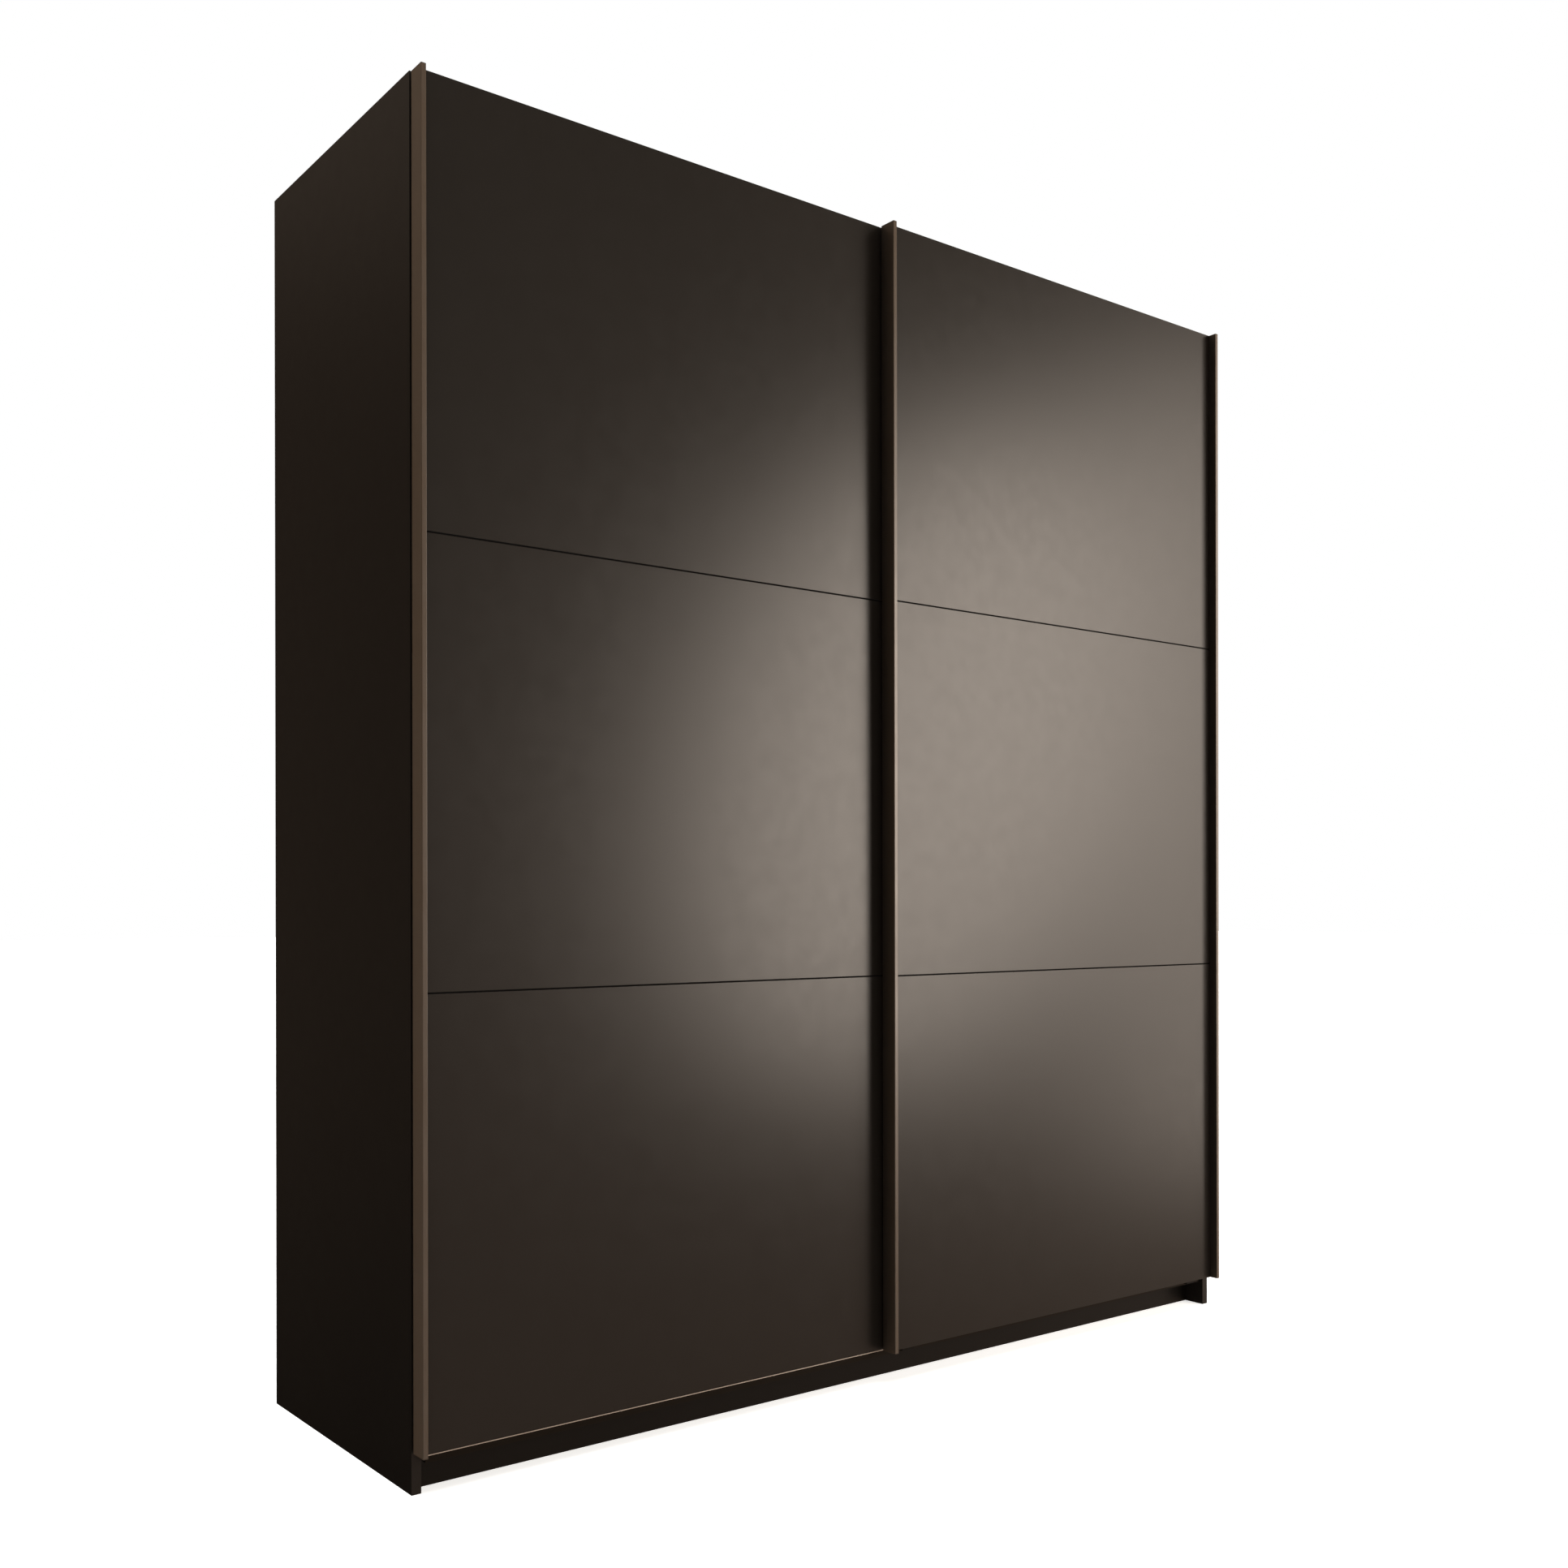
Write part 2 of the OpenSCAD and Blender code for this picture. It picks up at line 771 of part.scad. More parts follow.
// Outline of a guide finger seen from the front, grown by a clearance
module finger_outline(play, foot_z, head_top) {
  head_z = finger_top - finger_head_h;
  rect([-finger_w / 2 - play, foot_z], [finger_w / 2 + play, head_top]);
  head_w = finger_w / 2 + finger_head + play;
  rect([-head_w, head_z - play], [head_w, head_top]);
}

module finger_solid(play, foot_z, head_top) {
  translate([0, housing_y0 + finger_t + play, 0]) rotate([90, 0, 0]) {
    linear_extrude(finger_t + 2 * play) finger_outline(play, foot_z, head_top);
  }
}

finger_top = door_z + housing_h - 18;

// Plastic case let into the door, with the shaft in which the finger slides
module left_door_guide_housings() {
  color(white_colour) left_door() for (x = guide_x) difference() {
    translate([x - housing_w / 2, -housing_d, door_z]) cube([housing_w, housing_d, housing_h]);
    translate([x, 0, 0]) finger_solid(guide_play, door_z - cut, finger_top + finger_lift + cut);
  }
}

// Guide finger that reaches down into the bottom rail; it is lifted to unhang the door
module guide_finger(x) {
  left_door() translate([x, 0, 0]) finger_solid(0, slot_floor_z + 2, finger_top);
}

module left_guide_finger_a() {
  color(black_colour) guide_finger(guide_x[0]);
}

module left_guide_finger_b() {
  color(black_colour) guide_finger(guide_x[1]);
}

// ---- Right door: the front one ----------------------------------------------------------

right_hanger_rail = front_rail_y - front_y;         // rail of the right door, from its back
shank_y = -3;                                       // front face of a hook's shank
shank_top = door_z + 40;

module keeper_box(x, z0, h, depth) {
  translate([x - keeper_w / 2, -keeper_d, z0]) cube([keeper_w, depth, h]);
}

module right_door_top_panel() {
  color(board_colour) right_door() difference() {
    door_board(2, right_door_edges);
    for (x = hanger_x) hanger_leg_plate(x, door_top + cut, hanger_t + cut);
    hanger_screws();
  }
}

module right_door_middle_panel() {
  color(board_colour) right_door() door_board(1, right_door_edges);
}

module right_door_bottom_panel() {
  color(board_colour) right_door() difference() {
    door_board(0, right_door_edges);
    for (x = guide_x) keeper_box(x, door_z - cut, keeper_h + cut, keeper_d + cut);
  }
}

module right_door_joint_profiles() {
  color(black_colour) right_door() for (index = [1, 2]) joint_profile(index, right_door_edges);
}

module right_door_handle_fins() {
  color(metal_colour) right_door() for (edge = right_door_edges) handle_fin(edge);
}

module right_door_profile_caps() {
  color(black_colour) right_door() for (edge = right_door_edges) fin_caps(edge);
}

module right_door_hangers() {
  color(steel_colour) right_door() for (x = hanger_x) {
    hanger(x, right_hanger_rail, right_web_z);
  }
}

module right_door_axles() {
  color(steel_colour) right_door() axles(right_hanger_rail);
}

module right_door_screws() {
  color(steel_colour) right_door() hanger_screws();
}

// Upright shank of a hook, grown by a clearance
module hook_shank(play, z0, z1) {
  translate([-hook_w / 2 - play, shank_y - play, z0]) {
    cube([hook_w + 2 * play, hook_t + 2 * play, z1 - z0]);
  }
}

// Plastic case let into the door, in which the shank of a hook slides
module right_door_guide_keepers() {
  color(white_colour) right_door() for (x = guide_x) difference() {
    keeper_box(x, door_z, keeper_h, keeper_d);
    translate([x, 0, 0]) hook_shank(guide_play, door_z - cut, shank_top + cut);
  }
}

// Hook that reaches back under the bottom rail and up into its groove; it is pushed down
// to unhang the door
module guide_hook(x) {
  clear = 0.5;
  plate_z = floor_z - rail_plate_t;
  arm_z = plate_z - rib_h - clear - hook_arm_t;
  tip_y = hook_slot_y - front_y - hook_tip_t / 2;
  right_door() translate([x - hook_w / 2, 0, 0]) {
    translate([hook_w / 2, 0, 0]) hook_shank(0, arm_z, shank_top);
    translate([0, shank_y, arm_z]) cube([hook_w, tip_y + hook_tip_t - shank_y, hook_arm_t]);
    translate([0, tip_y, arm_z]) cube([hook_w, hook_tip_t, plate_z - clear - arm_z]);
  }
}

module right_guide_hook_a() {
  color(black_colour) guide_hook(guide_x[0]);
}

module right_guide_hook_b() {
  color(black_colour) guide_hook(guide_x[1]);
}

// ---- Wheels -----------------------------------------------------------------------------

module left_wheel(number) {
  color(black_colour) left_door() wheel(number, left_hanger_rail);
}

module right_wheel(number) {
  color(black_colour) right_door() wheel(number, right_hanger_rail);
}

// ---- Assembly ---------------------------------------------------------------------------

left_side_panel();
right_side_panel();
centre_partition();
left_floor_board();
right_floor_board();
left_top_board();
right_top_board();
front_plinth();
rear_plinths();
left_back_panel();
right_back_panel();
back_joint_strip();
left_hat_shelf();
right_hat_shelf();
clothes_rails();
clothes_rail_sockets();
shelf_pins();
cam_fittings();
cam_bolts();
dowels();
wall_brackets();
top_track();
track_stops();
stop_buffers();
bottom_guide_rail();
bottom_rail_trim();
left_door_top_panel();
left_door_middle_panel();
left_door_bottom_panel();
left_door_joint_profiles();
left_door_handle_fin();
left_door_edge_profile();
left_door_profile_caps();
left_door_brush_seal();
left_door_hangers();
left_door_axles();
left_door_screws();
left_door_guide_housings();
left_guide_finger_a();
left_guide_finger_b();
right_door_top_panel();
right_door_middle_panel();
right_door_bottom_panel();
right_door_joint_profiles();
right_door_handle_fins();
right_door_profile_caps();
right_door_hangers();
right_door_axles();
right_door_screws();
right_door_guide_keepers();
right_guide_hook_a();
right_guide_hook_b();
left_wheel(1);  // left_wheel_1
left_wheel(2);  // left_wheel_2
left_wheel(3);  // left_wheel_3
left_wheel(4);  // left_wheel_4
right_wheel(1);  // right_wheel_1
right_wheel(2);  // right_wheel_2
right_wheel(3);  // right_wheel_3
right_wheel(4);  // right_wheel_4
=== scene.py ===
"""Looks of a two-door sliding wardrobe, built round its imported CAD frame."""
import json
import math
import random

import bmesh
import bpy
from mathutils import Matrix, Vector


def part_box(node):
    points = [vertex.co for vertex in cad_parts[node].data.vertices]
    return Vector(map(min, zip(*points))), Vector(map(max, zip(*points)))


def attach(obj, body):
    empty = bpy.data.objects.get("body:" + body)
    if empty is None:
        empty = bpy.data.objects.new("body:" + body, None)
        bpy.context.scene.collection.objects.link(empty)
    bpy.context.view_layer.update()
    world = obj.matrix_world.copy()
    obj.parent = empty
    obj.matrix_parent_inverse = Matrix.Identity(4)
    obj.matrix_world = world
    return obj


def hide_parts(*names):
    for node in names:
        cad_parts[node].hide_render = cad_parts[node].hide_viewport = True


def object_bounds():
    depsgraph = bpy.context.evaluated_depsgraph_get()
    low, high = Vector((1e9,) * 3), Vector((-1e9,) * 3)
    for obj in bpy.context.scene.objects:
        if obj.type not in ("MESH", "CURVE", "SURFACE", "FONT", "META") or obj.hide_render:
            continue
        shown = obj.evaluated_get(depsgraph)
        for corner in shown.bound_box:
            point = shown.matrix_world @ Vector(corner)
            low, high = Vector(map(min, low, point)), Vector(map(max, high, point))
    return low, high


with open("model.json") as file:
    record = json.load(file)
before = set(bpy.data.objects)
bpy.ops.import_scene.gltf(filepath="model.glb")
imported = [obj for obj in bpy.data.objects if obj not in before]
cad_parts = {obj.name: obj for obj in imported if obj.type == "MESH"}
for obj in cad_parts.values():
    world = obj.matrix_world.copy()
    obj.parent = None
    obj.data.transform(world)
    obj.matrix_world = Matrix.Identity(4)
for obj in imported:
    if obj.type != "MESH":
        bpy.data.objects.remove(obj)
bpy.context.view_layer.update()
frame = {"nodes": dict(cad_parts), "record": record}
SCENE = bpy.context.scene
MM = 0.001
UP = (0, 0, 1)
BACKWARDS = (0, 1, 0)
DOORS = ("left", "right")

# ---- Camera: placed from the left side panel's lower front corner --------------------------

SENSOR_MM = 36.0
LENS_MM = 36.41
CAMERA_LEFT = 1.0295     # metres to the left of the side panel
CAMERA_FRONT = 2.2435    # metres in front of the side panel
CAMERA_UP = 0.897
YAW_DEG = -37.90
ROLL_DEG = -0.093
SHIFT_UP = 0.0761


def make_camera():
    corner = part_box("left_side_panel")[0]
    data = bpy.data.cameras.new("camera")
    data.sensor_width = SENSOR_MM
    data.lens = LENS_MM
    data.shift_y = SHIFT_UP
    data.clip_end = 100.0
    camera = bpy.data.objects.new("camera", data)
    SCENE.collection.objects.link(camera)
    camera.location = (corner.x - CAMERA_LEFT, corner.y - CAMERA_FRONT, CAMERA_UP)
    turn = Matrix.Rotation(math.radians(YAW_DEG), 4, "Z")
    tilt = Matrix.Rotation(math.radians(90), 4, "X")
    roll = Matrix.Rotation(math.radians(ROLL_DEG), 4, "Z")
    camera.rotation_euler = (turn @ tilt @ roll).to_euler()
    SCENE.camera = camera


make_camera()

# ---- Materials -----------------------------------------------------------------------------

MIX_A, MIX_B, MIX_RESULT = 6, 7, 2       # colour sockets of a mix node
DRAW_LINES = 2600.0                      # cells a metre across a profile
LINE_STRETCH = 0.01                      # along it, so that a cell becomes a line
THREADS = 520.0                          # cells a metre across the threads of a linen print
THREAD_STRETCH = 0.05


class Nodes:
    """Short calls for the nodes that the finishes and the backdrop share."""

    def __init__(self, tree):
        self.tree = tree

    def link(self, source, target):
        self.tree.links.new(source, target)

    def span(self, source, low, high, start=0.3, end=0.7):
        """`source` between start and end, mapped to low to high."""
        node = self.tree.nodes.new("ShaderNodeMapRange")
        node.inputs["From Min"].default_value = start
        node.inputs["From Max"].default_value = end
        node.inputs["To Min"].default_value = low
        node.inputs["To Max"].default_value = high
        self.link(source, node.inputs["Value"])
        return node.outputs["Result"]

    def math(self, kind, a, b):
        node = self.tree.nodes.new("ShaderNodeMath")
        node.operation = kind
        for value, socket in ((a, node.inputs[0]), (b, node.inputs[1])):
            if isinstance(value, (int, float)):
                socket.default_value = value
            else:
                self.link(value, socket)
        return node.outputs["Value"]

    def mix(self, factor, a, b):
        """Colour from a to b by factor; a and b are colours or sockets."""
        node = self.tree.nodes.new("ShaderNodeMix")
        node.data_type = "RGBA"
        self.link(factor, node.inputs["Factor"])
        for value, socket in ((a, node.inputs[MIX_A]), (b, node.inputs[MIX_B])):
            if isinstance(value, tuple):
                socket.default_value = (*value, 1.0)
            else:
                self.link(value, socket)
        return node.outputs[MIX_RESULT]


class Shader(Nodes):
    """One node material."""

    def __init__(self, name, roughness=0.5, metallic=0.0, ior=1.5, **sockets):
        self.material = bpy.data.materials.new(name)
        self.material.use_nodes = True
        super().__init__(self.material.node_tree)
        self.bsdf = self.tree.nodes["Principled BSDF"]
        self.bsdf.inputs["Roughness"].default_value = roughness
        self.bsdf.inputs["Metallic"].default_value = metallic
        self.bsdf.inputs["IOR"].default_value = ior
        for socket, value in sockets.items():
            self.bsdf.inputs[socket.replace("_", " ")].default_value = value
        self.coords = self.tree.nodes.new("ShaderNodeTexCoord").outputs["Object"]
        self.normal = None

    def noise(self, scale, detail=3.0, stretch=(1, 1, 1), rough=0.5):
        """Noise with `scale` cells a metre, squeezed along the axes by `stretch`."""
        mapping = self.tree.nodes.new("ShaderNodeMapping")
        mapping.inputs["Scale"].default_value = stretch
        self.link(self.coords, mapping.inputs["Vector"])
        node = self.tree.nodes.new("ShaderNodeTexNoise")
        node.inputs["Scale"].default_value = scale
        node.inputs["Detail"].default_value = detail
        node.inputs["Roughness"].default_value = rough
        self.link(mapping.outputs["Vector"], node.inputs["Vector"])
        return node.outputs["Fac"]

    def colour(self, source):
        self.link(source, self.bsdf.inputs["Base Color"])

    def roughness(self, source):
        self.link(source, self.bsdf.inputs["Roughness"])

    def bump(self, height, depth_mm, strength=1.0):
        """Adds a relief of depth_mm to the surface."""
        node = self.tree.nodes.new("ShaderNodeBump")
        node.inputs["Distance"].default_value = depth_mm * MM
        node.inputs["Strength"].default_value = strength
        self.link(height, node.inputs["Height"])
        if self.normal is not None:
            self.link(self.normal, node.inputs["Normal"])
        self.normal = node.outputs["Normal"]
        self.link(self.normal, self.bsdf.inputs["Normal"])

    def edge_wear_and_highlight(self, radius_mm=0.8):
        """0 on flat faces, rising to 1 on rounded edges; finishes use it to lighten edges as
        wear and as a painted highlight.
        """
        bevel = self.tree.nodes.new("ShaderNodeBevel")
        bevel.samples = 4
        bevel.inputs["Radius"].default_value = radius_mm * MM
        geometry = self.tree.nodes.new("ShaderNodeNewGeometry")
        dot = self.tree.nodes.new("ShaderNodeVectorMath")
        dot.operation = "DOT_PRODUCT"
        self.link(bevel.outputs["Normal"], dot.inputs[0])
        self.link(geometry.outputs["Normal"], dot.inputs[1])
        return self.span(dot.outputs["Value"], 1.0, 0.0, start=0.90, end=0.995)

    def open_part(self, reach):
        """Share of the surroundings within reach that nothing fills."""
        node = self.tree.nodes.new("ShaderNodeAmbientOcclusion")
        node.samples = 8
        node.inputs["Distance"].default_value = reach
        return node.outputs["AO"]


def shade(colour, factor):
    return tuple(min(1.0, c * factor) for c in colour)


def lacquered_profile(name, colour, roughness):
    """Lacquered aluminium with fine upright draw lines; inner corners are painted darker as
    shade.
    """
    corner_reach = 0.08
    painted_corner_shade = shade(colour, 0.12)
    s = Shader(name, roughness=roughness, ior=1.72)
    lines = s.noise(DRAW_LINES, stretch=(1, 1, LINE_STRETCH))
    # Painted shade: where ambient occlusion finds the surroundings filled, the colour darkens to
    # 0.12 of itself.
    painted_shade_mask = s.span(s.open_part(corner_reach), 1.0, 0.0, start=0.6, end=1.0)
    base = s.mix(s.span(lines, 0.0, 1.0), shade(colour, 0.9), shade(colour, 1.1))
    # Rounded edges painted lighter: edge wear and a painted highlight.
    edged = s.mix(s.math("MULTIPLY", s.edge_wear_and_highlight(), 0.4), base, shade(colour, 1.5))
    s.colour(s.mix(painted_shade_mask, edged, painted_corner_shade))
    drawn_surface(s, lines, roughness)
    return s.material


def drawn_surface(s, lines, roughness):
    """Roughness and relief that brushed and lacquered profiles share."""
    cloud = s.span(s.noise(14.0), roughness - 0.04, roughness + 0.04)
    s.roughness(s.math("ADD", cloud, s.span(lines, -0.03, 0.03)))
    s.bump(lines, 0.01, 0.4)


def satin_board(name, colour, roughness, ior=1.5):
    """Satin lacquered or melamine-faced board: fine orange peel, faint cloudiness."""
    s = Shader(name, roughness=roughness, ior=ior)
    cloud = s.noise(2.2, detail=2.0)
    fine = s.noise(420.0, detail=2.0)
    base = s.mix(s.span(cloud, 0.0, 1.0), shade(colour, 0.94), shade(colour, 1.07))
    s.colour(s.mix(s.span(fine, 0.0, 0.35), base, shade(colour, 0.86)))
    s.roughness(s.span(s.noise(35.0, detail=4.0), roughness - 0.015, roughness + 0.015))
    s.bump(fine, 0.012, 0.35)
    return s.material


def linen_board(name, colour, roughness):
    """Matt melamine with a fine linen print: threads along X, Y and Z, two sets on any face."""
    s = Shader(name, roughness=roughness)
    sets = []
    for axis in range(3):
        stretch = [1, 1, 1]
        stretch[axis] = THREAD_STRETCH
        sets.append(s.noise(THREADS, detail=1.0, stretch=tuple(stretch)))
    total = s.math("ADD", s.math("ADD", sets[0], sets[1]), sets[2])
    weave = s.math("DIVIDE", total, len(sets))
    tone = s.span(weave, 0.0, 1.0, start=0.42, end=0.58)
    s.colour(s.mix(tone, shade(colour, 0.92), shade(colour, 1.08)))
    s.roughness(s.span(weave, roughness - 0.03, roughness + 0.03))
    s.bump(weave, 0.03, 0.3)
    return s.material


def brushed_metal(name, colour, roughness):
    """Anodised or plated metal with draw lines along X."""
    s = Shader(name, roughness=roughness, metallic=1.0)
    lines = s.noise(DRAW_LINES, stretch=(LINE_STRETCH, 1, 1))
    base = s.mix(s.span(lines, 0.0, 1.0), shade(colour, 0.88), shade(colour, 1.10))
    # Rounded edges painted lighter: edge wear and a painted highlight.
    s.colour(s.mix(s.math("MULTIPLY", s.edge_wear_and_highlight(), 0.5), base, shade(colour, 1.45)))
    drawn_surface(s, lines, roughness)
    return s.material


def moulded_plastic(name, colour, roughness, grain=1100.0):
    """Moulded or extruded plastic with a fine spark-eroded grain."""
    s = Shader(name, roughness=roughness)
    fine = s.noise(grain, detail=2.0)
    cloud = s.noise(30.0)
    base = s.mix(s.span(cloud, 0.0, 1.0), shade(colour, 0.9), shade(colour, 1.1))
    # Rounded edges painted lighter: edge wear and a painted highlight.
    s.colour(s.mix(s.math("MULTIPLY", s.edge_wear_and_highlight(0.4), 0.4), base, shade(colour, 1.7)))
    s.roughness(s.span(fine, roughness - 0.06, roughness + 0.06))
    s.bump(fine, 0.03, 0.4)
    return s.material


def zinc_plate(name, colour, roughness):
    """Zinc-plated sheet: fine grey cloudiness and faint rolling scratches."""
    s = Shader(name, roughness=roughness, metallic=1.0)
    patches = s.noise(110.0)
    scratch = s.noise(700.0, detail=1.0, stretch=(0.06, 1, 1))
    s.colour(s.mix(s.span(patches, 0.0, 1.0), shade(colour, 0.96), shade(colour, 1.03)))
    s.roughness(s.math("ADD", s.span(patches, roughness - 0.02, roughness + 0.02),
                       s.span(scratch, -0.015, 0.02)))
    s.bump(scratch, 0.003, 0.2)
    return s.material


def hardboard(name, colour):
    """Printed hardboard: fine fibres and a slight waviness."""
    s = Shader(name, roughness=0.62)
    fibre = s.noise(260.0, detail=5.0, stretch=(1, 1, 0.6), rough=0.65)
    cloud = s.noise(3.0, detail=2.0)
    base = s.mix(s.span(fibre, 0.0, 1.0), shade(colour, 0.82), shade(colour, 1.14))
    s.colour(s.mix(s.math("MULTIPLY", s.span(cloud, 0.0, 1.0), 0.35), base, shade(colour, 0.85)))
    s.roughness(s.span(fibre, 0.55, 0.7))
    s.bump(fibre, 0.06, 0.5)
    return s.material


def raw_beech(name, colour):
    s = Shader(name, roughness=0.6)
    grain = s.noise(320.0, detail=4.0, stretch=(0.08, 1, 1))
    s.colour(s.mix(s.span(grain, 0.0, 1.0), shade(colour, 0.75), shade(colour, 1.1)))
    s.bump(grain, 0.08, 0.5)
    return s.material


def matt_black(name):
    """Soft black rubber that hardly shines."""
    s = Shader(name, roughness=0.9, Specular_IOR_Level=0.1)
    fine = s.noise(600.0, detail=2.0)
    s.colour(s.mix(s.span(fine, 0.0, 1.0), (0.0015, 0.0014, 0.0013), (0.0035, 0.0032, 0.003)))
    s.bump(fine, 0.02, 0.4)
    return s.material


def brush_fibre(name, colour):
    s = Shader(name, roughness=0.8, Sheen_Weight=0.6)
    fibre = s.noise(3000.0, detail=2.0, stretch=(1, 0.05, 1))
    s.colour(s.mix(s.span(fibre, 0.0, 1.0), shade(colour, 0.6), shade(colour, 1.8)))
    s.bump(fibre, 0.1, 0.7)
    return s.material


BOARD = (0.006, 0.0044, 0.0032)
BRONZE = (0.050, 0.032, 0.019)

# One finish for each material slot of the record, and a few of single nodes
MATERIALS = {
    "door_board": satin_board("door_board", BOARD, 0.30),
    # The outer board is the door board darkened to 0.7: painted shade on the side panels.
    "outer_board": satin_board("outer_board", shade(BOARD, 0.7), 0.33, ior=1.47),
    # The plinth's board: the door board at half its colour, with a lower IOR, as painted shade
    # under the doors.
    "plinth_board_painted_shade": satin_board("plinth_board_painted_shade", shade(BOARD, 0.5), 0.38, ior=1.3),
    # The guide hooks take the plinth's darkened board, painted shade, so that they match it.
    "hook_plastic_painted_shade": satin_board("hook_plastic_painted_shade", shade(BOARD, 0.5), 0.48, ior=1.25),
    "inner_board": linen_board("inner_board", (0.17, 0.148, 0.128), 0.58),
    "back_board": hardboard("back_board", (0.15, 0.13, 0.112)),
    "bronze_profile": lacquered_profile("bronze_profile", BRONZE, 0.36),
    "profile_cap": moulded_plastic("profile_cap", shade(BRONZE, 0.8), 0.45),
    "black_plastic": moulded_plastic("black_plastic", (0.012, 0.0115, 0.011), 0.5),
    "matt_black": matt_black("matt_black"),
    # The guide rail is darkened to the plinth's tone: a painted shadow under the trim.
    "guide_rail": brushed_metal("guide_rail", (0.025, 0.022, 0.019), 0.45),
    "trim_profile": brushed_metal("trim_profile", (0.86, 0.80, 0.74), 0.42),
    "wheel_plastic": moulded_plastic("wheel_plastic", (0.10, 0.10, 0.104), 0.42),
    "white_plastic": moulded_plastic("white_plastic", (0.62, 0.61, 0.58), 0.42),
    "zinc_steel": zinc_plate("zinc_steel", (0.62, 0.63, 0.64), 0.36),
    "track_aluminium": brushed_metal("track_aluminium", (0.70, 0.70, 0.71), 0.34),
    "chrome_tube": brushed_metal("chrome_tube", (0.72, 0.72, 0.73), 0.14),
    "beech": raw_beech("beech", (0.58, 0.42, 0.27)),
    "buffer_rubber": moulded_plastic("buffer_rubber", (0.018, 0.018, 0.018), 0.7, grain=500.0),
    "brush_pile": brush_fibre("brush_pile", (0.03, 0.028, 0.026)),
}

# ---- Finishes and edges of the CAD nodes ---------------------------------------------------

# Edge radius in millimetres for the nodes of a slot
EDGE_RADIUS = {"door_board": 0.5, "outer_board": 0.6, "inner_board": 0.5, "back_board": 0.2,
               "bronze_profile": 0.35, "profile_cap": 0.25, "black_plastic": 0.25,
               "white_plastic": 0.4, "zinc_steel": 0.3, "track_aluminium": 0.3,
               "buffer_rubber": 0.5}

# Nodes whose finish differs from that of their slot; the plinth, the guide hooks and the guide
# rail get darker finishes that paint the shade under the doors
NODE_FINISH = {"front_plinth": "plinth_board_painted_shade",
               "bottom_rail_trim": "trim_profile",
               "bottom_guide_rail": "guide_rail",
               "left_door_joint_profiles": "matt_black",
               "right_door_joint_profiles": "matt_black",
               "right_guide_hook_a": "hook_plastic_painted_shade",
               "right_guide_hook_b": "hook_plastic_painted_shade"}


def finish_cad_nodes():
    slots = {entry["node"]: entry["material_slot"] for entry in frame["record"]["subparts"]}
    for name, node in frame["nodes"].items():
        slot = slots[name]
        node.data.materials.clear()
        node.data.materials.append(MATERIALS[NODE_FINISH.get(name, slot)])
        if slot in EDGE_RADIUS:
            bevel = node.modifiers.new("edges", "BEVEL")
            bevel.width = EDGE_RADIUS[slot] * MM
            bevel.segments = 2
            bevel.limit_method = "ANGLE"
            bevel.angle_limit = math.radians(40)


finish_cad_nodes()

# ---- Small fittings that only the looks need -----------------------------------------------

# Lengths here are in millimetres where they aren't multiplied by MM
CROSS_LIFT = 0.04        # how far the dark cross, painted shade of a recess, stands above its flat
SUNK = -0.05             # how far a head's foot reaches below the surface
SCREW_HEIGHT = 1.8
DRAWS = random.Random(7)


def new_piece(name, body, bm, finishes):
    """Turns a bmesh, which is freed, into a piece that rides on a body."""
    bmesh.ops.recalc_face_normals(bm, faces=bm.faces)
    mesh = bpy.data.meshes.new(name)
    bm.to_mesh(mesh)
    bm.free()
    for finish in finishes:
        mesh.materials.append(MATERIALS[finish])
    mesh.polygons.foreach_set("use_smooth", [True] * len(mesh.polygons))
    mesh.set_sharp_from_angle(angle=math.radians(35))
    piece = bpy.data.objects.new(name, mesh)
    SCENE.collection.objects.link(piece)
    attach(piece, body)
    return piece


def placer(centre, axis):
    """A function that puts x, y, z, with z along the axis, into the scene round a centre."""
    turn = Vector(UP).rotation_difference(Vector(axis)).to_matrix()
    return lambda x, y, z: Vector(centre) + turn @ Vector((x, y, z)) * MM


def circle(bm, place, radius, height, sides):
    angles = [2 * math.pi * k / sides for k in range(sides)]
    return [bm.verts.new(place(radius * math.cos(a), radius * math.sin(a), height))
            for a in angles]


def bridge(bm, low, high):
    """Faces between two loops of as many vertices."""
    return [bm.faces.new((low[k - 1], low[k], high[k], high[k - 1])) for k in range(len(low))]


def turned(bm, centre, axis, profile, sides=24):
    """A turned solid: (radius, height) points taken round the axis."""
    place = placer(centre, axis)
    rings = [circle(bm, place, radius, height, sides) for radius, height in profile]
    for low, high in zip(rings, rings[1:]):
        bridge(bm, low, high)
    bm.faces.new(rings[0][::-1])
    bm.faces.new(rings[-1])


def ring(bm, centre, axis, inner, outer, height):
    """A flat ring with chamfered edges on its upper side."""
    edge = 0.4 * height
    section = [(inner, 0), (outer, 0), (outer, height - edge), (outer - edge, height),
               (inner + edge, height), (inner, height - edge)]
    place = placer(centre, axis)
    loops = [circle(bm, place, radius, up, 32) for radius, up in section]
    for low, high in zip(loops, loops[1:] + loops[:1]):
        bridge(bm, low, high)


def cross(bm, centre, axis, reach, height):
    """Painted shade of a screwdriver's cross recess: a thin dark plate in the second finish."""
    half = 0.22 * reach
    outline = [(half, half), (half, reach), (-half, reach), (-half, half), (-reach, half),
               (-reach, -half), (-half, -half), (-half, -reach), (half, -reach), (half, -half),
               (reach, -half), (reach, half)]
    place = placer(centre, axis)
    low, high = [[bm.verts.new(place(x, y, z)) for x, y in outline]
                 for z in (height, height + CROSS_LIFT)]
    for face in bridge(bm, low, high) + [bm.faces.new(high)]:
        face.material_index = 1


